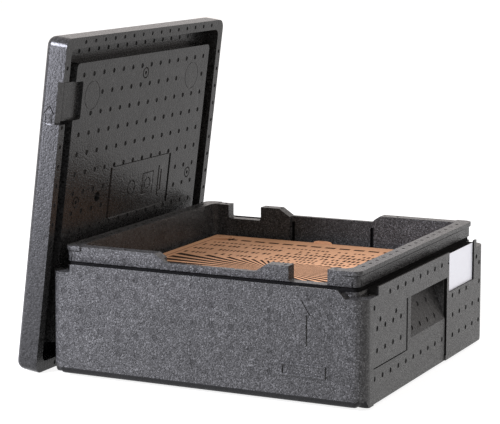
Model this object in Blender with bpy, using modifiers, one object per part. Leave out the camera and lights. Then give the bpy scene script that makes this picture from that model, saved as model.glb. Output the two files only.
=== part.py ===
"""Top-loading insulated carrier for pizza cartons.

A square box and a loose lid, both moulded in black bead foam, with a card in the grip side and two
pizza cartons stacked inside. The lid stands on the floor and leans against the left side of the box.

Metres, +Z up. The origin is on the floor, under the middle of the box. X runs to the right along the
front of the box, and Y runs towards its back.
"""

import math

import bmesh
import bpy
from mathutils import Matrix, Vector

# ---------------------------------------------------------------- driving dimensions
OUTER = 0.410  # side of the square box
CAVITY = 0.350  # side of the square space inside
FLOOR_THICKNESS = 0.032
BASE_HEIGHT = 0.003  # stacking base under the box
BASE_INSET = 0.033

SHOULDER_Z = 0.1385  # ledge that carries the lid's skirt
RIM_MID_Z = 0.148  # rim where it dips along the front and the back
RIM_Z = 0.158
LIP_Z = 0.1585  # lip that stands proud round the top of the rim's left and right sides
CORNER_NOTCH_Z = 0.1285  # ledge that the outer wall drops to at each corner
RIGHT_NOTCH_REACH = (0.0345, 0.0395, 0.0100)  # front-right and back-left: along X, along Y, slope
LEFT_NOTCH_REACH = (0.0284, 0.0330, 0.0010)  # front-left and back-right

CORNER_RADIUS = 0.016
RIM_INSET = 0.0142
RIM_RADIUS = 0.009
RIM_ROOT = 0.020  # depth that the rim is set into the walls
LIP_INSET = 0.0122
LIP_RADIUS = 0.011
LIP_RETURN = 0.022  # how far the lip turns round each corner
LIP_DEPTH = 0.0065
LIP_CHAMFER = 0.0015
CAVITY_RADIUS = 0.008
BOTTOM_ROUND = 0.0085  # along the bottom edges of the front and the back
BOTTOM_ROUND_STEPS = 4
BASE_RADIUS = 0.012
BASE_ROOT = 0.020  # depth that the stacking base is set into the floor

DIP_LEFT = -0.0545  # low stretch of the front rim; the back rim is the same, turned half round
DIP_RIGHT = 0.0613
DIP_SLOPE = 0.0152
FINGER_BAY_HALF = 0.061  # bay in the front and back inner walls, for fingers beside the cartons
FINGER_BAY_DEPTH = 0.009
FINGER_BAY_BITE = 0.020  # overlap of the bay's cutter with the cavity
SMALL_RADIUS = 0.003
KEY_SLOT_LEFT = 0.104  # slot in the front rim that takes the lid's key
KEY_SLOT_RIGHT = 0.1525
KEY_SLOT_Z = 0.1395
KEY_SLOT_START = 0.004  # from the front of the box, outside the rim

GRIP_NEAR = -0.058
GRIP_FAR = 0.060
GRIP_BOTTOM_Z = 0.053
GRIP_TOP_Z = 0.108
GRIP_DEPTH = 0.020
GRIP_BACK_HEIGHT = 0.004  # upright wall at the grip's deepest line
GRIP_RUNOUT = 0.020

PANEL_STEP = 0.0015  # depth of the lowered band on each grip side
PAD_EDGE = -0.076
BAND_EDGE = 0.061
PAD_BOTTOM_Z = 0.046
PAD_START = -0.177
BAND_OVERLAP = 0.002

CARD_SIZE = (0.0008, 0.0880, 0.0490)
CARD_RECESS_NEAR = 0.070
CARD_RECESS_FAR = 0.163
CARD_RECESS_Z = 0.088
CARD_RECESS_DEPTH = 0.0036
CARD_SLOT_WIDTH = 0.0017  # slot behind the recess's far and lower edges, which holds the card upright
CARD_SLOT_BITE = 0.0020

LID_SIDE = 0.4125
LID_THICKNESS = 0.0305
LID_CORNER_RADIUS = 0.012
LID_SKIRT = 0.0130
LID_PLUG_HALF = 0.1740
LID_PLUG_RADIUS = 0.006
LID_PLUG_LEVEL = 0.0015  # how far the plug's face lies above the skirt's edge
LID_GROOVE_RADIUS = 0.009
LID_GROOVE_DEPTH = 0.0220
LID_TOP_ROUND = 0.0095
LID_RECESS_HALF = 0.1735
LID_RECESS_DEPTH = 0.0055
LID_RECESS_RADIUS = 0.0135
LID_OVERLAP = 0.004  # overlap of the pieces that are joined into the lid
KEY_LEVEL = 0.0068  # how far the key's face lies above the skirt's edge
KEY_CLEARANCE = 0.0010
KEY_POCKET_REACH = 0.0500  # from the lid's outer face to the pocket's inner end
SKIRT_NOTCH_EXTRA = 0.0015
SKIRT_NOTCH_STEP = 0.0002  # the notch is this much deeper than the key's face

LID_LEAN = math.radians(7.13)
LID_GAP = 0.0006
LID_FORWARD = 0.0065  # the leaning lid's middle lies this far in front of the middle of the box
LID_AXIS_UP = 0.0070  # the tilt axis, from the lid's lower end
LID_AXIS_IN = 0.0095  # the tilt axis, from the lid's outer face

CARTON = 0.330
CARTON_HEIGHT = 0.0408
CARTON_WALL = 0.0025
CARTON_FLAP = 0.0015
CARTON_FLAP_DROP = 0.0290
CARTON_FLAP_PLAY = 0.0020
CARTON_FLAP_RELIEF = 0.0100
CARTON_GAP = 0.0004

TOUCH_GAP = 0.0003
OVERCUT = 0.010

HALF = OUTER / 2
LID_HALF = LID_SIDE / 2
CAVITY_HALF = CAVITY / 2
FLOOR_Z = BASE_HEIGHT + FLOOR_THICKNESS
HALF_TURN = Matrix.Rotation(math.pi, 4, "Z")


# ---------------------------------------------------------------- scene and materials
def clear_scene():
    for obj in list(bpy.data.objects):
        bpy.data.objects.remove(obj, do_unlink=True)


def new_collection(name, hidden=False):
    collection = bpy.data.collections.new(name)
    bpy.context.scene.collection.children.link(collection)
    collection.hide_render = hidden
    return collection


def make_material(name, colour, roughness, metallic=0.0):
    material = bpy.data.materials.new(name)
    material.use_nodes = True
    shader = material.node_tree.nodes["Principled BSDF"]
    shader.inputs["Base Color"].default_value = (*colour, 1.0)
    shader.inputs["Roughness"].default_value = roughness
    shader.inputs["Metallic"].default_value = metallic
    material.diffuse_color = (*colour, 1.0)
    return material


# ---------------------------------------------------------------- modelling helpers
def box_mesh(low, high):
    """A box between two corners, as a bmesh."""
    mesh = bmesh.new()
    bmesh.ops.create_cube(mesh, size=1.0)
    size = Vector(high) - Vector(low)
    centre = (Vector(high) + Vector(low)) / 2
    bmesh.ops.scale(mesh, vec=size, verts=mesh.verts)
    bmesh.ops.translate(mesh, vec=centre, verts=mesh.verts)
    return mesh


def bevel_edges(mesh, chosen, width, segments):
    bmesh.ops.bevel(
        mesh, geom=chosen, offset=width, segments=segments, profile=0.5, affect="EDGES", clamp_overlap=True
    )


def upright_edges(mesh):
    return [e for e in mesh.edges if abs((e.verts[0].co - e.verts[1].co).normalized().z) > 0.99]


def rounded_box(low, high, radius, segments=5):
    """A box whose upright edges are rounded."""
    mesh = box_mesh(low, high)
    bevel_edges(mesh, upright_edges(mesh), radius, segments)
    return mesh


def square_box(half, z_low, z_high, radius, segments=5):
    return rounded_box((-half, -half, z_low), (half, half, z_high), radius, segments)


def wedge_mesh(outline, axis, start, end):
    """A closed outline pushed along X or Y. The outline's points are (across, z)."""
    curve = bpy.data.curves.new("outline", "CURVE")
    curve.dimensions = "2D"
    curve.fill_mode = "BOTH"
    curve.extrude = (end - start) / 2
    spline = curve.splines.new("POLY")
    spline.points.add(len(outline) - 1)
    for point, (across, z) in zip(spline.points, outline):
        point.co = (across, z, 0.0, 1.0)
    spline.use_cyclic_u = True
    holder = bpy.data.objects.new("outline", curve)
    bpy.context.scene.collection.objects.link(holder)
    graph = bpy.context.evaluated_depsgraph_get()
    data = bpy.data.meshes.new_from_object(holder.evaluated_get(graph))
    mesh = bmesh.new()
    mesh.from_mesh(data)
    bmesh.ops.remove_doubles(mesh, verts=mesh.verts, dist=0.00001)
    stand = Matrix.Rotation(math.pi / 2, 4, "X")
    if axis == "X":
        stand = Matrix.Rotation(math.pi / 2, 4, "Z") @ stand
    bmesh.ops.transform(mesh, matrix=stand, verts=mesh.verts)
    middle = (start + end) / 2
    shift = Vector((middle, 0, 0)) if axis == "X" else Vector((0, middle, 0))
    bmesh.ops.translate(mesh, vec=shift, verts=mesh.verts)
    bmesh.ops.recalc_face_normals(mesh, faces=mesh.faces)
    bpy.data.objects.remove(holder, do_unlink=True)
    bpy.data.curves.remove(curve)
    bpy.data.meshes.remove(data)
    return mesh


def make_object(name, mesh, collection, material=None):
    data = bpy.data.meshes.new(name)
    bmesh.ops.recalc_face_normals(mesh, faces=mesh.faces)
    mesh.to_mesh(data)
    mesh.free()
    obj = bpy.data.objects.new(name, data)
    collection.objects.link(obj)
    if material is not None:
        data.materials.append(material)
    return obj


def make_cutter(name, mesh, turned=False):
    """A helper solid for a Boolean. A turned one is the same solid, half a turn round the upright axis."""
    if turned:
        bmesh.ops.transform(mesh, matrix=HALF_TURN, verts=mesh.verts)
    obj = make_object(name, mesh, cutters)
    obj.hide_render = True
    obj.display_type = "WIRE"
    return obj


def combine(obj, other, operation):
    modifier = obj.modifiers.new(f"{operation.lower()} {other.name}", "BOOLEAN")
    modifier.operation = operation
    modifier.solver = "EXACT"
    modifier.object = other


def cut(obj, name, make_mesh, both_sides=False):
    """Cuts one solid away, and with both_sides its half-turned twin as well."""
    combine(obj, make_cutter(name, make_mesh()), "DIFFERENCE")
    if both_sides:
        combine(obj, make_cutter(f"{name} twin", make_mesh(), turned=True), "DIFFERENCE")


def add(obj, name, make_mesh, both_sides=False):
    combine(obj, make_cutter(name, make_mesh()), "UNION")
    if both_sides:
        combine(obj, make_cutter(f"{name} twin", make_mesh(), turned=True), "UNION")


# ---------------------------------------------------------------- box body
def bottom_round_mesh():
    """What rounding the bottom edge of the front wall takes away."""
    centre_y = -HALF + BOTTOM_ROUND
    centre_z = BASE_HEIGHT + BOTTOM_ROUND
    outline = [(centre_y, BASE_HEIGHT - OVERCUT)]
    for step in range(BOTTOM_ROUND_STEPS + 1):
        angle = math.pi / 2 * step / BOTTOM_ROUND_STEPS
        outline.append((centre_y - BOTTOM_ROUND * math.sin(angle), centre_z - BOTTOM_ROUND * math.cos(angle)))
    outline.append((-HALF - OVERCUT, centre_z))
    outline.append((-HALF - OVERCUT, BASE_HEIGHT - OVERCUT))
    return wedge_mesh(outline, "X", -HALF - OVERCUT, HALF + OVERCUT)


def corner_notch_mesh(side, reach):
    """A front corner of the outer wall, above the notch's ledge. Its end in the front wall leans outwards."""
    along_x, along_y, slope = reach
    rise = (SHOULDER_Z + OVERCUT - CORNER_NOTCH_Z) / (SHOULDER_Z - CORNER_NOTCH_Z)
    foot = side * (HALF - along_x + slope)
    head = side * (HALF - along_x + slope - slope * rise)
    outside = side * (HALF + OVERCUT)
    outline = [
        (foot, CORNER_NOTCH_Z),
        (outside, CORNER_NOTCH_Z),
        (outside, SHOULDER_Z + OVERCUT),
        (head, SHOULDER_Z + OVERCUT),
    ]
    return wedge_mesh(outline, "Y", -HALF - OVERCUT, -HALF + along_y)


def rim_mesh():
    return square_box(HALF - RIM_INSET, CORNER_NOTCH_Z - RIM_ROOT, RIM_Z, RIM_RADIUS)


def lip_mesh():
    mesh = square_box(HALF - LIP_INSET, LIP_Z - LIP_DEPTH, LIP_Z, LIP_RADIUS)
    lower = [e for e in mesh.edges if all(v.co.z < LIP_Z - LIP_DEPTH + TOUCH_GAP for v in e.verts)]
    bevel_edges(mesh, lower, LIP_CHAMFER, 1)
    return mesh


def dip_mesh():
    """Everything above the low stretch of the front rim, between its two slopes."""
    top = LIP_Z + OVERCUT
    rise = (top - RIM_MID_Z) / (RIM_Z - RIM_MID_Z) * DIP_SLOPE
    outline = [
        (DIP_LEFT, RIM_MID_Z),
        (DIP_RIGHT, RIM_MID_Z),
        (DIP_RIGHT + rise, top),
        (DIP_LEFT - rise, top),
    ]
    return wedge_mesh(outline, "Y", -HALF, -CAVITY_HALF + OVERCUT)


def key_slot_mesh():
    mesh = box_mesh(
        (KEY_SLOT_LEFT, -HALF + KEY_SLOT_START, KEY_SLOT_Z),
        (KEY_SLOT_RIGHT, -CAVITY_HALF + OVERCUT, LIP_Z + OVERCUT),
    )
    low_corners = [
        e
        for e in mesh.edges
        if all(v.co.z < KEY_SLOT_Z + TOUCH_GAP for v in e.verts)
        and abs((e.verts[0].co - e.verts[1].co).normalized().y) > 0.99
    ]
    bevel_edges(mesh, low_corners, SMALL_RADIUS, 2)
    return mesh


def grip_mesh():
    """A scoop that is deep under its flat ceiling and comes out flush at the bottom."""
    outline = [
        (HALF + OVERCUT, GRIP_TOP_Z),
        (HALF - GRIP_DEPTH, GRIP_TOP_Z),
        (HALF - GRIP_DEPTH, GRIP_TOP_Z - GRIP_BACK_HEIGHT),
        (HALF, GRIP_BOTTOM_Z),
        (HALF + OVERCUT, GRIP_BOTTOM_Z - GRIP_RUNOUT),
    ]
    return wedge_mesh(outline, "Y", GRIP_NEAR, GRIP_FAR)


def build_body():
    walls = square_box(HALF, BASE_HEIGHT, SHOULDER_Z, CORNER_RADIUS, 6)
    body = make_object("box_body", walls, parts, foam)
    cut(body, "bottom rounding", bottom_round_mesh, both_sides=True)
    cut(body, "right corner notch", lambda: corner_notch_mesh(1, RIGHT_NOTCH_REACH), both_sides=True)
    cut(body, "left corner notch", lambda: corner_notch_mesh(-1, LEFT_NOTCH_REACH), both_sides=True)
    add(body, "rim", rim_mesh)
    add(body, "lip", lip_mesh)
    inner = LIP_RETURN + LIP_INSET
    cut(
        body,
        "lip ends",
        lambda: box_mesh((-HALF + inner, -HALF, RIM_Z), (HALF - inner, HALF, LIP_Z + OVERCUT)),
    )
    for side in (-1, 1):
        outer_y = side * (HALF - RIM_INSET)
        near, far = sorted((outer_y, outer_y + side * OVERCUT))
        low = (-HALF + inner, near, LIP_Z - LIP_DEPTH - LIP_CHAMFER)
        high = (HALF - inner, far, RIM_Z + LIP_CHAMFER)
        cut(body, f"lip face {side}", lambda low=low, high=high: box_mesh(low, high))
    cut(body, "cavity", lambda: square_box(CAVITY_HALF, FLOOR_Z, LIP_Z + OVERCUT, CAVITY_RADIUS))
    for side in (-1, 1):
        near, far = sorted((side * (CAVITY_HALF - FINGER_BAY_BITE), side * (CAVITY_HALF + FINGER_BAY_DEPTH)))
        cut(
            body,
            f"finger bay {side}",
            lambda near=near, far=far: rounded_box(
                (-FINGER_BAY_HALF, near, FLOOR_Z), (FINGER_BAY_HALF, far, LIP_Z + OVERCUT), SMALL_RADIUS, 2
            ),
        )
    cut(body, "rim dip", dip_mesh, both_sides=True)
    cut(body, "key slot", key_slot_mesh, both_sides=True)
    cut(body, "grip", grip_mesh, both_sides=True)
    cut(
        body,
        "lowered band",
        lambda: box_mesh(
            (HALF - PANEL_STEP, PAD_EDGE, -OVERCUT), (HALF + OVERCUT, BAND_EDGE, GRIP_TOP_Z)
        ),
        both_sides=True,
    )
    cut(
        body,
        "band under pad",
        lambda: box_mesh(
            (HALF - PANEL_STEP, PAD_START, -OVERCUT), (HALF + OVERCUT, PAD_EDGE + BAND_OVERLAP, PAD_BOTTOM_Z)
        ),
        both_sides=True,
    )
    cut(
        body,
        "card recess",
        lambda: box_mesh(
            (HALF - CARD_RECESS_DEPTH, CARD_RECESS_NEAR, CARD_RECESS_Z),
            (HALF + OVERCUT, CARD_RECESS_FAR, SHOULDER_Z + CARD_SLOT_BITE),
        ),
        both_sides=True,
    )
    slot_back = HALF - CARD_RECESS_DEPTH - TOUCH_GAP
    cut(
        body,
        "card slot",
        lambda: box_mesh(
            (slot_back, CARD_RECESS_NEAR + CARD_SLOT_BITE, CARD_RECESS_Z - CARD_SLOT_BITE),
            (slot_back + CARD_SLOT_WIDTH, CARD_RECESS_FAR + CARD_SLOT_BITE, SHOULDER_Z + OVERCUT),
        ),
        both_sides=True,
    )
    add(
        body,
        "stacking base",
        lambda: square_box(HALF - BASE_INSET, 0.0, BASE_HEIGHT + BASE_ROOT, BASE_RADIUS),
    )
    return body


# ---------------------------------------------------------------- lid
def lid_to_local(point):
    """From the closed lid's frame, with its skirt's edge at z = 0, to the frame of the tilt axis."""
    return Vector(point) - Vector((-LID_HALF + LID_AXIS_UP, 0.0, LID_THICKNESS - LID_AXIS_IN))


def shifted(mesh):
    bmesh.ops.translate(mesh, vec=lid_to_local((0, 0, 0)), verts=mesh.verts)
    return mesh


def lid_slab():
    mesh = square_box(LID_HALF, 0.0, LID_THICKNESS, LID_CORNER_RADIUS)
    top = [e for e in mesh.edges if all(v.co.z > LID_THICKNESS - TOUCH_GAP for v in e.verts)]
    bevel_edges(mesh, top, LID_TOP_ROUND, 4)
    return shifted(mesh)


def build_lid():
    lid = make_object("lid", lid_slab(), parts, foam)

    def lid_cutter(name, mesh):
        obj = make_cutter(name, shifted(mesh))
        obj.parent = lid
        return obj

    groove = square_box(LID_HALF - LID_SKIRT, -OVERCUT, LID_GROOVE_DEPTH, LID_GROOVE_RADIUS)
    combine(lid, lid_cutter("lid groove", groove), "DIFFERENCE")
    plug = square_box(LID_PLUG_HALF, LID_PLUG_LEVEL, LID_GROOVE_DEPTH + LID_OVERLAP, LID_PLUG_RADIUS)
    combine(lid, lid_cutter("lid plug", plug), "UNION")
    recess = square_box(
        LID_RECESS_HALF, LID_THICKNESS - LID_RECESS_DEPTH, LID_THICKNESS + OVERCUT, LID_RECESS_RADIUS
    )
    combine(lid, lid_cutter("lid stacking recess", recess), "DIFFERENCE")
    notch_end = -LID_HALF + LID_SKIRT + LID_OVERLAP / 2
    for turn, label in ((Matrix.Identity(4), "front"), (HALF_TURN, "back")):
        key = box_mesh(
            (KEY_SLOT_LEFT + KEY_CLEARANCE, -LID_HALF + LID_SKIRT - LID_OVERLAP, KEY_LEVEL),
            (
                KEY_SLOT_RIGHT - KEY_CLEARANCE,
                -LID_PLUG_HALF + LID_OVERLAP,
                LID_GROOVE_DEPTH + LID_OVERLAP / 2,
            ),
        )
        bmesh.ops.transform(key, matrix=turn, verts=key.verts)
        combine(lid, lid_cutter(f"lid key {label}", key), "UNION")
        pocket = rounded_box(
            (KEY_SLOT_LEFT + KEY_CLEARANCE, -LID_HALF + LID_SKIRT / 2, -OVERCUT),
            (KEY_SLOT_RIGHT - KEY_CLEARANCE, -LID_HALF + KEY_POCKET_REACH, KEY_LEVEL),
            SMALL_RADIUS,
            3,
        )
        bmesh.ops.transform(pocket, matrix=turn, verts=pocket.verts)
        combine(lid, lid_cutter(f"lid key pocket {label}", pocket), "DIFFERENCE")
        notch = box_mesh(
            (KEY_SLOT_LEFT - SKIRT_NOTCH_EXTRA, -LID_HALF - OVERCUT, -OVERCUT),
            (KEY_SLOT_RIGHT + SKIRT_NOTCH_EXTRA, notch_end, KEY_LEVEL + SKIRT_NOTCH_STEP),
        )
        bmesh.ops.transform(notch, matrix=turn, verts=notch.verts)
        combine(lid, lid_cutter(f"lid skirt notch {label}", notch), "DIFFERENCE")
    lean_from_closed = LID_LEAN - math.pi / 2
    up = Vector((math.sin(LID_LEAN), 0.0, math.cos(LID_LEAN)))
    outward = Vector((-math.cos(LID_LEAN), 0.0, math.sin(LID_LEAN)))
    foot = Vector((-HALF - LID_GAP - SHOULDER_Z * math.tan(LID_LEAN), -LID_FORWARD, 0.0))
    lid.location = foot + up * LID_AXIS_UP + outward * (LID_THICKNESS - LID_AXIS_IN)
    lid.rotation_euler = (0.0, lean_from_closed, 0.0)
    return lid


# ---------------------------------------------------------------- card
def build_card():
    thick, wide, tall = CARD_SIZE
    mesh = box_mesh((0, -wide / 2, 0), (thick, wide / 2, tall))
    card = make_object("id_card", mesh, parts, white_card)
    card.location = (
        HALF - CARD_RECESS_DEPTH + TOUCH_GAP,
        CARD_RECESS_FAR + CARD_SLOT_BITE - TOUCH_GAP - wide / 2,
        CARD_RECESS_Z - CARD_SLOT_BITE + TOUCH_GAP,
    )
    return card


# ---------------------------------------------------------------- cartons
def build_tray(name, base_z):
    """An open tray folded from board. Its origin is at the middle of its underside."""
    half = CARTON / 2
    mesh = box_mesh((-half, -half, 0.0), (half, half, CARTON_HEIGHT - CARTON_WALL - TOUCH_GAP))
    top = [f for f in mesh.faces if f.normal.z > 0.9]
    bmesh.ops.delete(mesh, geom=top, context="FACES_ONLY")
    tray = make_object(name, mesh, parts, board)
    shell = tray.modifiers.new("board thickness", "SOLIDIFY")
    shell.thickness = CARTON_WALL
    shell.offset = -1.0
    shell.use_even_offset = True
    tray.location = (0.0, 0.0, base_z)
    return tray


def build_carton_lid(name, base_z):
    """The carton's top panel with three tucked flaps. Its origin is on the fold along the back edge."""
    half = CARTON / 2
    inner = half - CARTON_WALL - CARTON_FLAP_PLAY
    front = -half - inner
    panel = box_mesh((-half, -CARTON, -CARTON_WALL / 2), (half, 0.0, CARTON_WALL / 2))
    lid = make_object(name, panel, parts, board)
    side_start = front + CARTON_FLAP_RELIEF
    side_end = front + 2 * inner - 3 * CARTON_FLAP_RELIEF
    flaps = {
        "front flap": (
            (-inner + CARTON_FLAP_RELIEF, front),
            (inner - CARTON_FLAP_RELIEF, front + CARTON_FLAP),
        ),
        "left flap": ((-inner, side_start), (-inner + CARTON_FLAP, side_end)),
        "right flap": ((inner - CARTON_FLAP, side_start), (inner, side_end)),
    }
    for label, (low, high) in flaps.items():
        mesh = box_mesh((*low, -CARTON_WALL / 2 - CARTON_FLAP_DROP), (*high, 0.0))
        flap = make_cutter(f"{name} {label}", mesh)
        flap.parent = lid
        combine(lid, flap, "UNION")
    lid.location = (0.0, half, base_z + CARTON_HEIGHT - CARTON_WALL / 2)
    return lid


def build_cartons():
    for level, name in enumerate(("lower_carton", "upper_carton")):
        base_z = FLOOR_Z + CARTON_GAP + level * (CARTON_HEIGHT + CARTON_GAP)
        build_tray(f"{name}_tray", base_z)
        build_carton_lid(f"{name}_lid", base_z)


# ---------------------------------------------------------------- assembly
clear_scene()
parts = new_collection("Insulated food carrier")
cutters = new_collection("Cutters", hidden=True)
foam = make_material("black bead foam", (0.035, 0.036, 0.040), 0.55)
white_card = make_material("white card", (0.86, 0.87, 0.90), 0.45)
board = make_material("brown corrugated board", (0.62, 0.34, 0.19), 0.80)

build_body()
build_lid()
build_card()
build_cartons()
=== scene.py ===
"""Looks of a black bead-foam carrier: camera, light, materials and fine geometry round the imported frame."""

import math
import random

import bmesh
import bpy
from mathutils import Matrix, Vector


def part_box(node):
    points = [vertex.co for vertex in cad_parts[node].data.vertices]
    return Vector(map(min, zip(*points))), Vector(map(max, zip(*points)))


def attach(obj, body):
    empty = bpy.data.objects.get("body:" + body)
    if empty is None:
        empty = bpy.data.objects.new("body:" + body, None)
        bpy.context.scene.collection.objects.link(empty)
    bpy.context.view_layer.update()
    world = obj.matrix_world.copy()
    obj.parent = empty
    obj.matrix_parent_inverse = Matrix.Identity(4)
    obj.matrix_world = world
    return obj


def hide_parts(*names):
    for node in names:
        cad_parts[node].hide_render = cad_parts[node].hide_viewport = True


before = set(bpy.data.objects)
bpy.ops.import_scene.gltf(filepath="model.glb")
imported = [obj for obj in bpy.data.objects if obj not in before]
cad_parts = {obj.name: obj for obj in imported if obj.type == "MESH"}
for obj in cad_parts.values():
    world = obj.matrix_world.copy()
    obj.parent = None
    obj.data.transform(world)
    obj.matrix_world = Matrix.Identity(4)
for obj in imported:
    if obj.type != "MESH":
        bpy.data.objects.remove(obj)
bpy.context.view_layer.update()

# ---------------------------------------------------------------- sizes, in metres
HALF = 0.205
SHOULDER_Z = 0.1385
RIM_Z = 0.158
LIP_Z = 0.1585
RIM_MIDDLE = 0.183
BASE_Z = 0.003
RIM_DIP_Z = 0.148
RIM_DIP = (-0.056, 0.063)  # from and to along the rim, as in the next two lines
RIM_SLOPES = ((-0.075, -0.050), (0.056, 0.082))
KEY_SLOT = (0.098, 0.158)
GRIP_DEPTH = 0.020
GRIP_BOTTOM_Z = 0.053
GRIP_TOP_Z = 0.104
GRIP_SLOPE = math.atan2(GRIP_DEPTH, GRIP_TOP_Z - GRIP_BOTTOM_Z)
GRIP_REACH = 0.062  # from the middle of the side
LOW_BAND_IN = 0.0015  # how far the lowered band lies inside the grip side
BOTTOM_ROUND = 0.0085

LID_HALF = 0.20625
LID_THICKNESS = 0.0305
LID_LEAN = math.radians(7.13)
LID_AXIS_UP = 0.0070
LID_AXIS_IN = 0.0095
LID_AXIS = Vector((-0.242893, -0.0065, 0.009552))
LID_PLUG_LEVEL = 0.0015
LID_GROOVE_DEPTH = 0.022
LID_GROOVE_MIDDLE = 0.1836
LID_SKIRT_MIDDLE = 0.200
LID_TOP_RECESS = 0.0055
LID_DISCS = ((0.132, -0.132), (0.135, 0.129), (-0.132, -0.132), (-0.135, 0.129))
LID_RINGS = ((0.149, 0.0), (0.0, -0.147), (0.0, 0.147), (-0.149, 0.0))
LID_HOLE = (0.0, -0.095)

EDGE_ROUND = 0.0011
VENT_RADIUS = 0.0031
VENT_DEPTH = 0.0009
VENT_PITCH = 0.0247
RIM_VENT_RADIUS = 0.0023
RIM_VENT_DEPTH = 0.0007
RIM_VENT_PITCH = 0.021
FAINT_VENT_RADIUS = 0.0036
FAINT_VENT_DEPTH = 0.0003
FAINT_VENT_MISSING = 0.12  # share of the faint vents that don't show
GROOVE_VENT_RADIUS = 0.0028
SKIRT_VENT_RADIUS = 0.0025

CAMERA_PLACE = (1.0015, -2.1629, 0.5763)
CAMERA_TURN = math.radians(25.64)
CAMERA_DROP = math.radians(7.87)
CAMERA_ROLL = math.radians(-0.07)
CAMERA_LENS = 139.06
CAMERA_SHIFT = -0.0985

scene = bpy.context.scene
scene.view_settings.view_transform = "Standard"
dice = random.Random(11)


# ---------------------------------------------------------------- materials
class Nodes:
    """A material's node tree, with short ways to add nodes and join them."""

    def __init__(self, name):
        self.material = bpy.data.materials.new(name)
        self.material.use_nodes = True
        self.tree = self.material.node_tree
        self.shader = self.tree.nodes["Principled BSDF"]
        place = self.add("ShaderNodeTexCoord")
        self.place = place.outputs["Object"]

    def add(self, kind, **settings):
        node = self.tree.nodes.new(kind)
        for key, value in settings.items():
            setattr(node, key, value)
        return node

    def feed(self, socket, value):
        if isinstance(value, bpy.types.NodeSocket):
            self.tree.links.new(value, socket)
        else:
            socket.default_value = value

    def voronoi(self, size, output="Distance"):
        node = self.add("ShaderNodeTexVoronoi")
        self.feed(node.inputs["Vector"], self.place)
        node.inputs["Scale"].default_value = 1 / size
        return node.outputs[output]

    def noise(self, size, detail=3.0):
        node = self.add("ShaderNodeTexNoise")
        self.feed(node.inputs["Vector"], self.place)
        node.inputs["Scale"].default_value = 1 / size
        node.inputs["Detail"].default_value = detail
        return node.outputs["Fac"]

    def math(self, operation, first, second=0.0):
        node = self.add("ShaderNodeMath", operation=operation)
        self.feed(node.inputs[0], first)
        self.feed(node.inputs[1], second)
        return node.outputs[0]

    def span(self, value, low, high, new_low, new_high):
        node = self.add("ShaderNodeMapRange")
        for socket, number in zip(node.inputs, (value, low, high, new_low, new_high)):
            self.feed(socket, number)
        return node.outputs[0]

    def mix(self, share, first, second, blend="MIX"):
        node = self.add("ShaderNodeMix", data_type="RGBA", blend_type=blend)
        self.feed(node.inputs[0], share)
        self.feed(node.inputs[6], first)
        self.feed(node.inputs[7], second)
        return node.outputs[2]

    def bump(self, height, depth, strength=1.0, normal=None):
        node = self.add("ShaderNodeBump")
        node.inputs["Strength"].default_value = strength
        node.inputs["Distance"].default_value = depth
        self.feed(node.inputs["Height"], height)
        if normal is not None:
            self.feed(node.inputs["Normal"], normal)
        return node.outputs["Normal"]

    def set(self, name, value):
        self.feed(self.shader.inputs[name], value)


def grey(level, tint=(1.0, 1.0, 1.0)):
    """A tinted level as a colour with alpha."""
    return tuple(level * t for t in tint) + (1.0,)


def foam_material(name, dark, light, fleck, rough_low, rough_high, bump_depth, gloss, bead=0.0018):
    """Black bead foam: cells of the bead size in varied greys, some of them light, with a domed surface."""
    nodes = Nodes(name)
    cell = nodes.add("ShaderNodeSeparateColor")
    nodes.feed(cell.inputs[0], nodes.voronoi(bead, output="Color"))
    dome = nodes.voronoi(bead)
    grain = nodes.span(nodes.noise(bead * 0.5, 1.0), 0.36, 0.64, 0.0, 1.0)
    cell_share = nodes.math("MULTIPLY", cell.outputs[0], 0.45)
    grain_share = nodes.math("MULTIPLY", grain, 0.55)
    level = nodes.math("ADD", cell_share, grain_share)
    shade = nodes.mix(level, grey(dark), grey(light))
    flecked = nodes.span(cell.outputs[1], 0.6, 1.0, 0.0, 1.0)
    shade = nodes.mix(nodes.math("MULTIPLY", flecked, grain), shade, grey(fleck))
    cloud = nodes.span(nodes.noise(0.035), 0.3, 0.7, 0.88, 1.12)
    nodes.set("Base Color", nodes.mix(1.0, shade, cloud, "MULTIPLY"))
    nodes.set("Roughness", nodes.span(cell.outputs[2], 0.0, 1.0, rough_low, rough_high))
    nodes.shader.inputs["Specular IOR Level"].default_value = gloss
    hide = nodes.bump(nodes.noise(0.0065, 2.0), bump_depth * 0.6, 0.4)
    round_bead = nodes.math("SUBTRACT", 1.0, nodes.math("POWER", dome, 2.0))
    nodes.set("Normal", nodes.bump(round_bead, bump_depth, 0.7, hide))
    return nodes.material


def board_material(name, colour, contrast=0.12):
    nodes = Nodes(name)
    fibre = nodes.add("ShaderNodeMapping")
    nodes.feed(fibre.inputs["Vector"], nodes.place)
    fibre.inputs["Scale"].default_value = (1.0, 6.0, 6.0)
    grain = nodes.add("ShaderNodeTexNoise")
    nodes.feed(grain.inputs["Vector"], fibre.outputs[0])
    grain.inputs["Scale"].default_value = 160.0
    grain.inputs["Detail"].default_value = 5.0
    level = nodes.span(grain.outputs["Fac"], 0.25, 0.75, 1.0 - contrast, 1.0 + contrast)
    spots = nodes.span(nodes.noise(0.05), 0.3, 0.7, 0.94, 1.06)
    toned = nodes.mix(1.0, grey(1.0, colour), level, "MULTIPLY")
    nodes.set("Base Color", nodes.mix(1.0, toned, spots, "MULTIPLY"))
    nodes.set("Roughness", 0.72)
    nodes.shader.inputs["Specular IOR Level"].default_value = 0.16
    nodes.set("Normal", nodes.bump(grain.outputs["Fac"], 0.00012, 0.5))
    return nodes.material


def card_material():
    nodes = Nodes("card paper")
    level = nodes.span(nodes.noise(0.004), 0.3, 0.7, 0.97, 1.0)
    nodes.set("Base Color", nodes.mix(1.0, (0.68, 0.70, 0.76, 1.0), level, "MULTIPLY"))
    nodes.set("Roughness", 0.4)
    return nodes.material


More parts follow.
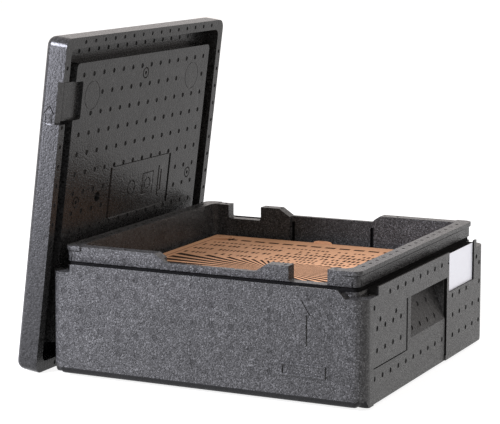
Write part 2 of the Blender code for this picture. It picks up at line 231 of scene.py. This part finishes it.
def ink_material(name, colour):
    nodes = Nodes(name)
    level = nodes.span(nodes.noise(0.0015, 4.0), 0.35, 0.65, 0.8, 1.25)
    nodes.set("Base Color", nodes.mix(1.0, grey(1.0, colour), level, "MULTIPLY"))
    nodes.set("Roughness", 0.9)
    nodes.shader.inputs["Specular IOR Level"].default_value = 0.06
    return nodes.material


# After the name: darkest, lightest and fleck level, roughness from and to, bump depth, gloss and bead size.
foam = foam_material("bead foam", 0.001, 0.043, 0.100, 0.25, 0.36, 0.00038, 0.19, 0.0015)
lid_foam = foam_material("lid foam", 0.002, 0.020, 0.030, 0.22, 0.30, 0.00024, 0.22, 0.0024)
# Painted shade: slightly darker foam in the shallow front and back vents, for the shade in their unmodelled
# slots.
faint_vent_shade_foam = foam_material("faint vent painted shade foam", 0.001, 0.030, 0.040, 0.30, 0.45, 0.0004, 0.20)
# Painted shade: darker foam on the grip faces, for the shade in the handle recess; it is also rougher.
grip_shade_foam = foam_material("grip painted shade foam", 0.001, 0.018, 0.060, 0.35, 0.50, 0.0004, 0.16)
# Painted shade: darker, smoother foam on the bottom rounding and in the card recesses, for the shade there.
smooth_shade_foam = foam_material("smooth painted shade foam", 0.002, 0.006, 0.008, 0.45, 0.55, 0.0002, 0.16)
# Painted shade: darker foam in the vent pits and the plug's deep hole, for the shade in them and in the
# vents' unmodelled slots; it is also rougher.
vent_shade_foam = foam_material("vent painted shade foam", 0.004, 0.011, 0.015, 0.5, 0.65, 0.0003, 0.18)
shadow_foam = foam_material("shadow foam", 0.001, 0.003, 0.004, 0.75, 0.9, 0.0002, 0.07)
kraft = board_material("kraft board", (0.43, 0.235, 0.130))
ink = ink_material("brown ink", (0.020, 0.011, 0.007))
card_paper = card_material()


# ---------------------------------------------------------------- mesh helpers
def new_object(name, mesh, material):
    data = bpy.data.meshes.new(name)
    mesh.to_mesh(data)
    mesh.free()
    obj = bpy.data.objects.new(name, data)
    scene.collection.objects.link(obj)
    data.materials.append(material)
    return obj


def lid_matrix():
    """From the closed lid's frame, with its skirt's edge at z = 0, to the leaning lid."""
    up = Vector((math.sin(LID_LEAN), 0.0, math.cos(LID_LEAN)))
    out = Vector((-math.cos(LID_LEAN), 0.0, math.sin(LID_LEAN)))
    start = LID_AXIS + up * (LID_HALF - LID_AXIS_UP) - out * (LID_THICKNESS - LID_AXIS_IN)
    matrix = Matrix.Identity(4)
    for row in range(3):
        matrix[row][0] = up[row]
        matrix[row][2] = out[row]
        matrix[row][3] = start[row]
    return matrix


LID_FRAME = lid_matrix()


def turned(point, normal):
    """A matrix whose Z points along the normal, standing at the point."""
    across = Vector((0, 0, 1)) if abs(normal[2]) < 0.9 else Vector((0, 1, 0))
    z = Vector(normal).normalized()
    x = across.cross(z).normalized()
    y = z.cross(x)
    matrix = Matrix((x, y, z)).transposed().to_4x4()
    matrix.translation = Vector(point)
    return matrix


def add_prism(mesh, outline, low, high, matrix):
    """An outline in the XY plane, pushed from low to high along Z and placed by the matrix."""
    area = sum(a[0] * b[1] - b[0] * a[1] for a, b in zip(outline, outline[1:] + outline[:1]))
    points = outline if area > 0 else outline[::-1]
    bottom = [mesh.verts.new(matrix @ Vector((x, y, low))) for x, y in points]
    top = [mesh.verts.new(matrix @ Vector((x, y, high))) for x, y in points]
    mesh.faces.new(bottom[::-1])
    mesh.faces.new(top)
    count = len(points)
    for i in range(count):
        j = (i + 1) % count
        mesh.faces.new((bottom[i], bottom[j], top[j], top[i]))


def add_ring(mesh, outer, inner, low, high, matrix):
    """A closed band between two outlines that have the same number of points."""
    count = len(outer)
    rows = []
    for outline, z in ((outer, low), (outer, high), (inner, high), (inner, low)):
        rows.append([mesh.verts.new(matrix @ Vector((x, y, z))) for x, y in outline])
    for i in range(count):
        j = (i + 1) % count
        for row in range(4):
            one, two = rows[row], rows[(row + 1) % 4]
            mesh.faces.new((one[i], one[j], two[j], two[i]))


def circle(radius, sides):
    angles = [2 * math.pi * i / sides for i in range(sides)]
    return [(radius * math.cos(angle), radius * math.sin(angle)) for angle in angles]


def rounded_rectangle(half_x, half_y, radius, parts):
    """A rectangle round the origin, with each corner drawn in a number of straight parts."""
    points = []
    for corner, (sx, sy) in enumerate(((1, 1), (-1, 1), (-1, -1), (1, -1))):
        x, y = sx * (half_x - radius), sy * (half_y - radius)
        for part in range(parts + 1):
            angle = math.pi / 2 * (corner + part / parts)
            points.append((x + radius * math.cos(angle), y + radius * math.sin(angle)))
    return points


def rectangle(half_x, half_y, centre=(0.0, 0.0)):
    x, y = centre
    signs = ((-1, -1), (1, -1), (1, 1), (-1, 1))
    return [(x + sx * half_x, y + sy * half_y) for sx, sy in signs]


def arrow(half_width, height, shaft_half, shaft_share):
    """An upright arrow outline with its middle at the origin."""
    low = -height / 2
    neck = low + height * shaft_share
    return [
        (-shaft_half, low),
        (shaft_half, low),
        (shaft_half, neck),
        (half_width, neck),
        (0.0, height / 2),
        (-half_width, neck),
        (-shaft_half, neck),
    ]


def inset(outline, share):
    """The outline drawn in towards its middle."""
    cx = sum(p[0] for p in outline) / len(outline)
    cy = sum(p[1] for p in outline) / len(outline)
    return [(cx + (x - cx) * share, cy + (y - cy) * share) for x, y in outline]


def cad_copy(node, name, material):
    """A free copy of a CAD node's mesh with its coplanar triangles joined."""
    mesh = bmesh.new()
    mesh.from_mesh(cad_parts[node].data)
    bmesh.ops.remove_doubles(mesh, verts=mesh.verts, dist=0.00002)
    bmesh.ops.dissolve_limit(
        mesh, angle_limit=math.radians(0.5), use_dissolve_boundaries=False, verts=mesh.verts, edges=mesh.edges
    )
    for face in mesh.faces:
        face.material_index = 0
    return new_object(name, mesh, material)


def apply_modifiers(obj):
    graph = bpy.context.evaluated_depsgraph_get()
    data = bpy.data.meshes.new_from_object(obj.evaluated_get(graph))
    old = obj.data
    obj.modifiers.clear()
    obj.data = data
    bpy.data.meshes.remove(old)


def round_edges(obj, width):
    bevel = obj.modifiers.new("rounded edges", "BEVEL")
    bevel.width = width
    bevel.segments = 2
    bevel.limit_method = "ANGLE"
    bevel.angle_limit = math.radians(30)
    bevel.use_clamp_overlap = True
    bevel.miter_outer = "MITER_ARC"


def carve(obj, mesh, material):
    """Cuts a set of separate solids out of the object and gives the new faces the material."""
    bmesh.ops.recalc_face_normals(mesh, faces=mesh.faces)
    cutter = new_object(f"{obj.name} cutter", mesh, material)
    boolean = obj.modifiers.new("carved", "BOOLEAN")
    boolean.operation = "DIFFERENCE"
    boolean.solver = "MANIFOLD"
    boolean.material_mode = "TRANSFER"
    boolean.object = cutter
    apply_modifiers(obj)
    bpy.data.objects.remove(cutter, do_unlink=True)


def smooth(obj):
    obj.data.shade_smooth()
    obj.data.set_sharp_from_angle(angle=math.radians(40))
    weighted = obj.modifiers.new("weighted normals", "WEIGHTED_NORMAL")
    weighted.keep_sharp = True


def steps(first, last, pitch):
    """Places a pitch apart, from the first to about the last."""
    return [first + i * pitch for i in range(int((last - first) / pitch + 0.5) + 1)]


# ---------------------------------------------------------------- box body
def add_vent(mesh, point, normal, radius=VENT_RADIUS, depth=VENT_DEPTH):
    add_prism(mesh, circle(radius, 16), -depth, 0.003, turned(point, normal))


def side_vent(mesh, side, y, z, step_in=0.0):
    """A vent on a grip side. The left side is the right one turned half round."""
    add_vent(mesh, (side * (HALF - step_in), side * y, z), (side, 0, 0))


def grip_side_vents(mesh, side):
    for y in steps(-0.1303, 0.0677, VENT_PITCH):
        side_vent(mesh, side, y, 0.1267)
    for y, z in ((-0.178, 0.116), (-0.1597, 0.100), (-0.1107, 0.100)):
        side_vent(mesh, side, y, z)
    for z in (0.0907, 0.065):
        for y in steps(-0.169, -0.095, VENT_PITCH):
            side_vent(mesh, side, y, z)
    for y in steps(-0.172, 0.050, VENT_PITCH):
        side_vent(mesh, side, y, 0.032, LOW_BAND_IN)
    for z in (0.057, 0.031):
        for y in steps(0.0845, 0.185, VENT_PITCH):
            side_vent(mesh, side, y, z)
    singles = ((0.083, 0.082), (0.108, 0.082), (0.134, 0.082), (0.184, 0.082), (0.172, 0.116), (0.183, 0.107))
    for y, z in singles:
        side_vent(mesh, side, y, z)


def grip_slope_vents(mesh, side):
    slope = (side * math.cos(GRIP_SLOPE), 0, math.sin(GRIP_SLOPE))
    for z, row in ((0.066, (-0.045, -0.019, 0.006, 0.031)), (0.087, (-0.033, -0.006, 0.022))):
        x = HALF - (z - GRIP_BOTTOM_Z) * math.tan(GRIP_SLOPE)
        for y in row:
            add_vent(mesh, (side * x, side * y, z), slope)


def face_vents(faint, side):
    """Rows of barely visible vents on the front (side 1) or the back (side -1), clear of the marks."""
    for z in (0.127, 0.1065, 0.0835, 0.060, 0.036):
        for x in steps(-0.1865, 0.188, 0.0249):
            on_marks = side == 1 and 0.098 < x < 0.160 and z < 0.118
            if not on_marks and dice.random() > FAINT_VENT_MISSING:
                place = (side * x, -side * HALF, z)
                add_vent(faint, place, (0, -side, 0), FAINT_VENT_RADIUS, FAINT_VENT_DEPTH)


def rim_vents(mesh):
    """Vents along the rim. Those on the back are laid out as on the front, not turned half round."""
    up = (0, 0, 1)
    for y in steps(-0.158, 0.158, RIM_VENT_PITCH):
        for side in (1, -1):
            add_vent(mesh, (side * RIM_MIDDLE, y, LIP_Z), up, RIM_VENT_RADIUS, RIM_VENT_DEPTH)
    for along in steps(-0.155, 0.155, RIM_VENT_PITCH):
        for side in (1, -1):
            x = side * along
            z = RIM_DIP_Z if RIM_DIP[0] < x < RIM_DIP[1] else RIM_Z
            on_slope = any(low < x < high for low, high in RIM_SLOPES)
            in_key_slot = KEY_SLOT[0] < x < KEY_SLOT[1]
            if not on_slope and not in_key_slot:
                add_vent(mesh, (x, -side * RIM_MIDDLE, z), up, RIM_VENT_RADIUS, RIM_VENT_DEPTH)


def body_vents(mesh, faint):
    for side in (1, -1):
        grip_side_vents(mesh, side)
        grip_slope_vents(mesh, side)
        face_vents(faint, side)
    rim_vents(mesh)


def side_slot(mesh, side, along, height, depth):
    """A straight slot in a grip side, between two places along it and two heights."""
    (y0, y1), (z0, z1) = along, height
    outline = [(y0 * side, z0), (y1 * side, z0), (y1 * side, z1), (y0 * side, z1)]
    matrix = Matrix(((0, 0, side, side * HALF), (1, 0, 0, 0), (0, 1, 0, 0), (0, 0, 0, 1)))
    add_prism(mesh, outline, -depth, 0.004, matrix)


def body_grooves(mesh):
    """The lines round the raised pad, at the end of the lowered band and at the ends of the finger bays."""
    for side in (1, -1):
        side_slot(mesh, side, (-0.0765, -0.0685), (0.0440, 0.1083), 0.0045)
        side_slot(mesh, side, (-0.1790, -0.0766), (0.0438, 0.0462), 0.0032)
        side_slot(mesh, side, (0.0597, 0.0628), (0.0095, 0.1083), 0.0042)
        for left, right in ((-0.0612, -0.0572), (0.0528, 0.0612)):
            middle = (side * (left + right) / 2, side * 0.18435)
            add_prism(mesh, rectangle((right - left) / 2, 0.00185, middle), 0.045, 0.1405, Matrix())


def ease(share):
    share = min(max(share, 0.0), 1.0)
    return share * share * (3 - 2 * share)


def corner_rounding(mesh):
    """What rounding the lower ends of the upright corners takes away.

    The radius is almost nothing at a grip side, a ball's at the corner and BOTTOM_ROUND at the front or back.
    """
    corner, front_round, ball, least = 0.016, BOTTOM_ROUND, 0.0155, 0.0004
    outside = 0.004
    for sx in (1, -1):
        for sy in (1, -1):
            middle = Vector((sx * (HALF - corner), sy * (HALF - corner), 0.0))
            rings = []
            for step in range(19):
                angle = -6 + 102 * step / 18
                radius = least + (ball - least) * ease(angle / 45)
                if angle > 45:
                    radius = ball + (front_round - ball) * ease((angle - 45) / 45)
                turn = math.radians(angle)
                across = Vector((sx * math.cos(turn), sy * math.sin(turn), 0.0))
                profile = [(corner + outside, BASE_Z - 0.003), (corner + outside, BASE_Z + radius)]
                for part in range(7):
                    bend = math.pi / 2 * part / 6
                    profile.append(
                        (corner - radius + radius * math.cos(bend), BASE_Z + radius - radius * math.sin(bend))
                    )
                profile.append((corner - radius, BASE_Z - 0.003))
                rings.append([mesh.verts.new(middle + across * r + Vector((0, 0, z))) for r, z in profile])
            for one, two in zip(rings, rings[1:]):
                for i in range(len(one)):
                    j = (i + 1) % len(one)
                    mesh.faces.new((one[i], one[j], two[j], two[i]))
            mesh.faces.new(rings[0])
            mesh.faces.new(rings[-1][::-1])


def shoulder_channel(mesh):
    """A channel in the shoulder that undercuts the foot of the rim."""
    flat = Matrix.Translation((0, 0, SHOULDER_Z))
    outer = rounded_rectangle(0.2028, 0.2028, 0.0138, 6)
    inner = rounded_rectangle(0.1888, 0.1888, 0.0070, 6)
    add_ring(mesh, outer, inner, -0.0040, 0.0014, flat)


def shade_body_faces(body):
    """Gives the bottom rounding, the card recesses and the grips their own darker foam, which is painted
    shade there.

    Returns the numbers of the recesses' big faces.
    """
    shade_foam_index = len(body.data.materials)
    body.data.materials.append(smooth_shade_foam)
    body.data.materials.append(grip_shade_foam)
    recess_floors = []
    for face in body.data.polygons:
        x, y, z = (abs(part) for part in face.center)
        round_bottom = abs(face.normal.y) > 0.03 and z < BASE_Z + BOTTOM_ROUND + 0.0001 and y > HALF - 0.02
        card_recess = HALF - 0.008 < x < HALF - 0.0003 and 0.078 < y < 0.176 and 0.075 < z < 0.15
        in_grip = HALF - GRIP_DEPTH - 0.001 < x < HALF - 0.0003 and y < GRIP_REACH and 0.05 < z < 0.106
        # Painted shade: the bottom rounding and the card recesses get the darker smooth foam.
        if round_bottom or card_recess:
            face.material_index = shade_foam_index
        if card_recess and face.area > 0.0001:
            recess_floors.append(face.index)
        # Painted shade: the grip faces get the darker grip foam.
        if in_grip:
            face.material_index = shade_foam_index + 1
    return recess_floors


def build_body():
    body = cad_copy("box_body", "foam_box", foam)
    round_edges(body, EDGE_ROUND)
    apply_modifiers(body)
    cuts = bmesh.new()
    corner_rounding(cuts)
    carve(body, cuts, foam)
    for make in (body_grooves, shoulder_channel):
        cuts = bmesh.new()
        make(cuts)
        carve(body, cuts, shadow_foam)
    cuts, faint = bmesh.new(), bmesh.new()
    body_vents(cuts, faint)
    # The vents' darker foam is painted shade in their hollows.
    carve(body, cuts, vent_shade_foam)
    # The faint vents' darker foam is painted shade in their hollows.
    carve(body, faint, faint_vent_shade_foam)
    recess_floors = shade_body_faces(body)
    smooth(body)
    for index in recess_floors:
        body.data.polygons[index].use_smooth = False
    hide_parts("box_body")
    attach(body, "box")


def build_front_marks():
    """A raised arrow and a blank label frame on the front, both generic."""
    mesh = bmesh.new()
    matrix = Matrix(((1, 0, 0, 0.126), (0, 0, -1, -HALF), (0, 1, 0, 0.0975), (0, 0, 0, 1)))
    add_prism(mesh, arrow(0.0115, 0.053, 0.0072, 0.67), -0.0008, 0.0014, matrix)
    matrix = Matrix(((1, 0, 0, 0.129), (0, 0, -1, -HALF), (0, 1, 0, 0.0415), (0, 0, 0, 1)))
    add_ring(mesh, rectangle(0.028, 0.0075), rectangle(0.0256, 0.0051), -0.0008, 0.0014, matrix)
    bmesh.ops.recalc_face_normals(mesh, faces=mesh.faces)
    marks = new_object("front_marks", mesh, foam)
    round_edges(marks, 0.0004)
    apply_modifiers(marks)
    smooth(marks)
    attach(marks, "box")


# ---------------------------------------------------------------- lid
def on_underside(x, y, z=LID_PLUG_LEVEL):
    """A place on the lid's underside, with Z out of the foam."""
    return LID_FRAME @ (Matrix.Translation((x, y, z)) @ Matrix.Rotation(math.pi, 4, "Y"))


def plug_vents(mesh):
    """Rows of vents on the plug, clear of the marks, the hole and the keys."""
    keep_out = [(x, y, 0.021) for x, y in LID_DISCS]
    keep_out += [(x, y, 0.014 if x else 0.012) for x, y in LID_RINGS]
    keep_out += [(*LID_HOLE, 0.012), (0.127, -0.170, 0.030), (-0.127, 0.170, 0.030)]
    columns = steps(-0.1565, 0.158, 0.0242)
    rows = [0.159 - 0.0245 * i for i in range(14)]
    for x in rows:
        for y in columns:
            in_frame = abs(x) < 0.036 and -0.070 < y < 0.099
            near_mark = any((x - a) ** 2 + (y - b) ** 2 < r * r for a, b, r in keep_out)
            if not in_frame and not near_mark:
                add_prism(mesh, circle(VENT_RADIUS, 16), -VENT_DEPTH, 0.003, on_underside(x, y))


def groove_and_skirt_vents(mesh):
    """Vents on the groove's floor and on the skirt's edge, with none where the keys stand."""
    groove = (LID_GROOVE_MIDDLE, LID_GROOVE_DEPTH, GROOVE_VENT_RADIUS)
    skirt = (LID_SKIRT_MIDDLE, 0.0, SKIRT_VENT_RADIUS)
    for along in steps(-0.1625, 0.165, 0.0238):
        for side in (1, -1):
            at_key = KEY_SLOT[0] < -along * side < KEY_SLOT[1]
            if not at_key:
                for middle, z, radius in (groove, skirt):
                    place = on_underside(along * side, -side * middle, z)
                    add_prism(mesh, circle(radius, 16), -VENT_DEPTH, 0.002, place)
            for middle, z, radius in (groove, skirt):
                place = on_underside(side * middle, along, z)
                add_prism(mesh, circle(radius, 16), -VENT_DEPTH, 0.002, place)


def lid_top_vents(mesh):
    for x in steps(-0.148, 0.148, VENT_PITCH):
        for y in steps(-0.148, 0.148, VENT_PITCH):
            place = LID_FRAME @ Matrix.Translation((x, y, LID_THICKNESS - LID_TOP_RECESS))
            add_prism(mesh, circle(VENT_RADIUS, 12), -VENT_DEPTH, 0.003, place)


def lid_vents(mesh):
    """All vents of the lid, and the deeper hole in the plug."""
    plug_vents(mesh)
    groove_and_skirt_vents(mesh)
    lid_top_vents(mesh)
    add_prism(mesh, circle(0.0066, 24), -0.012, 0.002, on_underside(*LID_HOLE))


def lid_marks(marks):
    """Engraved discs, rings, a frame with generic marks in it, and an arrow on the lid's side."""
    for x, y in LID_DISCS:
        add_ring(marks, circle(0.0180, 40), circle(0.0172, 40), -0.0005, 0.002, on_underside(x, y))
    for x, y in LID_RINGS:
        add_ring(marks, circle(0.0075, 24), circle(0.0058, 24), -0.0016, 0.002, on_underside(x, y))
        add_prism(marks, circle(0.0024, 12), -0.0016, 0.002, on_underside(x, y))
    for y in (-0.0645, 0.0920):
        add_prism(marks, rectangle(0.033, 0.0024), -0.0035, 0.002, on_underside(0.0, y))
    add_prism(marks, rectangle(0.0006, 0.0740), -0.0010, 0.002, on_underside(0.0335, 0.0138))
    add_prism(marks, rectangle(0.0008, 0.0740), -0.0014, 0.002, on_underside(-0.0335, 0.0138))
    square = on_underside(0.0, 0.035)
    add_ring(marks, rectangle(0.0150, 0.0150), rectangle(0.0135, 0.0135), -0.0010, 0.002, square)
    add_ring(marks, circle(0.0080, 24), circle(0.0065, 24), -0.0010, 0.002, square)
    add_ring(marks, circle(0.0100, 24), circle(0.0085, 24), -0.0010, 0.002, on_underside(0.0, -0.008))
    add_prism(marks, rectangle(0.020, 0.0016), -0.0008, 0.002, on_underside(0.0, 0.064))
    add_prism(marks, rectangle(0.014, 0.0016), -0.0008, 0.002, on_underside(0.0, 0.071))
    on_side = Matrix(((0, 1, 0, 0.113), (0, 0, -1, -LID_HALF), (-1, 0, 0, 0.0155), (0, 0, 0, 1)))
    outline = arrow(0.0075, 0.024, 0.0048, 0.55)
    add_ring(marks, outline, inset(outline, 0.80), -0.0010, 0.002, LID_FRAME @ on_side)


def build_lid():
    lid = cad_copy("lid", "foam_lid", lid_foam)
    round_edges(lid, EDGE_ROUND)
    apply_modifiers(lid)
    cuts, marks = bmesh.new(), bmesh.new()
    lid_vents(cuts)
    lid_marks(marks)
    carve(lid, marks, lid_foam)
    # The vents' and the deep hole's darker foam is painted shade in their hollows.
    carve(lid, cuts, vent_shade_foam)
    smooth(lid)
    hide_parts("lid")
    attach(lid, "leaning_lid")


# ---------------------------------------------------------------- card
def build_card():
    low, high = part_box("id_card")
    middle = (low + high) / 2
    half_y, half_z = (high.y - low.y) / 2, (high.z - low.z) / 2
    outline = rounded_rectangle(half_y, half_z, 0.002, 4)
    mesh = bmesh.new()
    matrix = Matrix(((0, 0, 1, low.x), (1, 0, 0, middle.y), (0, 1, 0, middle.z), (0, 0, 0, 1)))
    add_prism(mesh, outline, 0.0, high.x - low.x, matrix)
    card = new_object("blank_card", mesh, card_paper)
    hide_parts("id_card")
    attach(card, "card")


# ---------------------------------------------------------------- cartons
INK_LOW = -0.00005
INK_HIGH = 0.00006
RAY_COUNT = 52
RAY_CENTRE = (0.011, -0.032)
RAY_FIELD = (-0.148, 0.148, -0.148, 0.022)
BAR_ROWS = (  # place, start, end and half height
    (0.112, -0.148, 0.148, 0.0030),
    (0.092, -0.148, -0.030, 0.0055),
    (0.094, -0.010, 0.148, 0.0045),
    (0.078, -0.020, 0.148, 0.0055),
    (0.064, -0.148, -0.036, 0.0055),
    (0.060, -0.028, 0.148, 0.0055),
    (0.0455, -0.030, 0.148, 0.0035),
    (0.0365, -0.148, -0.040, 0.0050),
    (0.0325, -0.030, 0.148, 0.0040),
)


def ray_reach(centre, angle, bounds):
    """How far a ray from the centre goes before it leaves the bounds (low x, high x, low y, high y)."""
    reaches = []
    for place, direction, low, high in (
        (centre[0], math.cos(angle), bounds[0], bounds[1]),
        (centre[1], math.sin(angle), bounds[2], bounds[3]),
    ):
        if abs(direction) > 1e-6:
            reaches.append(((high if direction > 0 else low) - place) / direction)
    return min(reaches)


def add_ink(mesh, outline, top):
    """A patch of ink, partly sunk in the carton's top."""
    add_prism(mesh, outline, INK_LOW, INK_HIGH, Matrix.Translation((0, 0, top)))


def print_rays(mesh, top):
    """Rays from a point out to the printed field's edges, a little wider outwards."""
    near = 0.014
    for i in range(RAY_COUNT):
        angle = 2 * math.pi * (i + 0.5) / RAY_COUNT
        half = math.pi / RAY_COUNT * 0.52
        far = ray_reach(RAY_CENTRE, angle, RAY_FIELD)
        points = []
        for radius, turn in ((near, -half), (far, -half), (far, half), (near, half)):
            wide = turn * (0.7 + 0.3 * radius / 0.15)
            x = RAY_CENTRE[0] + radius * math.cos(angle + wide)
            y = RAY_CENTRE[1] + radius * math.sin(angle + wide)
            points.append((x, y))
        add_ink(mesh, points, top)


def print_bars(mesh, top):
    """Rows of plain bars with uneven widths, heights and gaps, in place of words."""
    for y, start, end, half_height in BAR_ROWS:
        x = start
        while x < end - 0.004:
            width = min(dice.uniform(0.0022, 0.0040), end - x)
            if dice.random() > 0.12:
                centre = (x + width / 2, y + dice.uniform(-0.0004, 0.0004))
                tall = half_height * dice.uniform(0.8, 1.0)
                add_ink(mesh, rectangle(width / 2, tall, centre), top)
            x += width + dice.uniform(0.0023, 0.0032)
            if dice.random() < 0.16:
                x += 0.004


def carton_print(name, top, body):
    """Rays, a dashed line, rows of plain bars, a line along the left edge and a stroke, in thin ink."""
    mesh = bmesh.new()
    print_rays(mesh, top)
    for x in steps(-0.128, 0.148, 0.0205):
        add_ink(mesh, rectangle(0.0073, 0.0034, (x, 0.137)), top)
    print_bars(mesh, top)
    add_ink(mesh, rectangle(0.0005, 0.155, (-0.1545, 0.0)), top)
    add_ink(mesh, rectangle(0.0016, 0.0085, (-0.1300, 0.1385)), top)
    marks = new_object(name, mesh, ink)
    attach(marks, body)


def carton_tabs(top, body):
    """The tuck tab near the back-left corner and the thumb tab that stands up at the back edge."""
    mesh = bmesh.new()
    lift = Matrix.Translation((-0.1450, 0.1385, top - 0.0006)) @ Matrix.Rotation(math.radians(-6), 4, "Y")
    tuck_tab = [(-0.012, -0.0095), (0.0115, -0.0075), (0.0115, 0.0080), (-0.012, 0.0095)]
    add_prism(mesh, tuck_tab, 0.0, 0.0022, lift)
    stand = Matrix(((1, 0, 0, -0.007), (0, 0, 1, 0.1622), (0, 1, 0, top), (0, 0, 0, 1)))
    right_half = [(0.015, -0.0012), (0.0115, 0.0024), (0.007, 0.0032)]
    outline = [(-0.015, -0.0012), *right_half, (-0.007, 0.0032), (-0.0115, 0.0024)]
    add_prism(mesh, outline, 0.0, 0.0024, stand)
    bmesh.ops.recalc_face_normals(mesh, faces=mesh.faces)
    tabs = new_object("carton_tabs", mesh, kraft)
    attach(tabs, body)


def build_cartons():
    for node in ("lower_carton_tray", "lower_carton_lid", "upper_carton_tray", "upper_carton_lid"):
        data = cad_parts[node].data
        data.materials.clear()
        data.materials.append(kraft)
    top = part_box("upper_carton_lid")[1].z
    carton_print("carton_top_print", top, "upper_carton_top")
    carton_tabs(top, "upper_carton_top")


# ---------------------------------------------------------------- camera, floor and light
def add_camera():
    data = bpy.data.cameras.new("camera")
    data.lens = CAMERA_LENS
    data.sensor_width = 36.0
    data.shift_y = CAMERA_SHIFT
    camera = bpy.data.objects.new("camera", data)
    scene.collection.objects.link(camera)
    camera.location = CAMERA_PLACE
    camera.rotation_euler = (math.pi / 2 - CAMERA_DROP, CAMERA_ROLL, CAMERA_TURN)
    scene.camera = camera


def add_area(name, place, target, size, power, colour=(1.0, 1.0, 1.0)):
    data = bpy.data.lights.new(name, "AREA")
    data.shape = "RECTANGLE"
    data.size, data.size_y = size
    data.energy = power
    data.color = colour
    light = bpy.data.objects.new(name, data)
    scene.collection.objects.link(light)
    light.location = place
    light.rotation_euler = (Vector(target) - Vector(place)).to_track_quat("-Z", "Y").to_euler()


def add_world(strength, colour):
    world = bpy.data.worlds.new("studio")
    world.use_nodes = True
    background = world.node_tree.nodes["Background"]
    background.inputs["Color"].default_value = (*colour, 1.0)
    background.inputs["Strength"].default_value = strength
    scene.world = world


def add_floor():
    reach = 6.0
    level = -0.0005
    mesh = bmesh.new()
    corners = [(-reach, -reach), (reach, -reach), (reach, reach), (-reach, reach)]
    mesh.faces.new([mesh.verts.new((x, y, level)) for x, y in corners])
    nodes = Nodes("white sweep")
    nodes.set("Base Color", grey(0.22))
    nodes.set("Roughness", 0.9)
    nodes.set("Emission Color", grey(1.0))
    nodes.set("Emission Strength", 0.86)
    new_object("floor", mesh, nodes.material)


build_body()
build_front_marks()
build_lid()
build_card()
build_cartons()
add_camera()
add_world(1.10, (1.0, 0.94, 0.915))
add_floor()
add_area("key", (-0.95, -1.35, 0.98), (-0.10, -0.20, 0.2), (0.8, 0.6), 110.0, (0.86, 0.87, 1.0))
add_area("low strip", (-1.22, -1.35, 0.25), (-0.25, -0.20, 0.25), (0.5, 0.45), 13.0, (0.86, 0.87, 1.0))
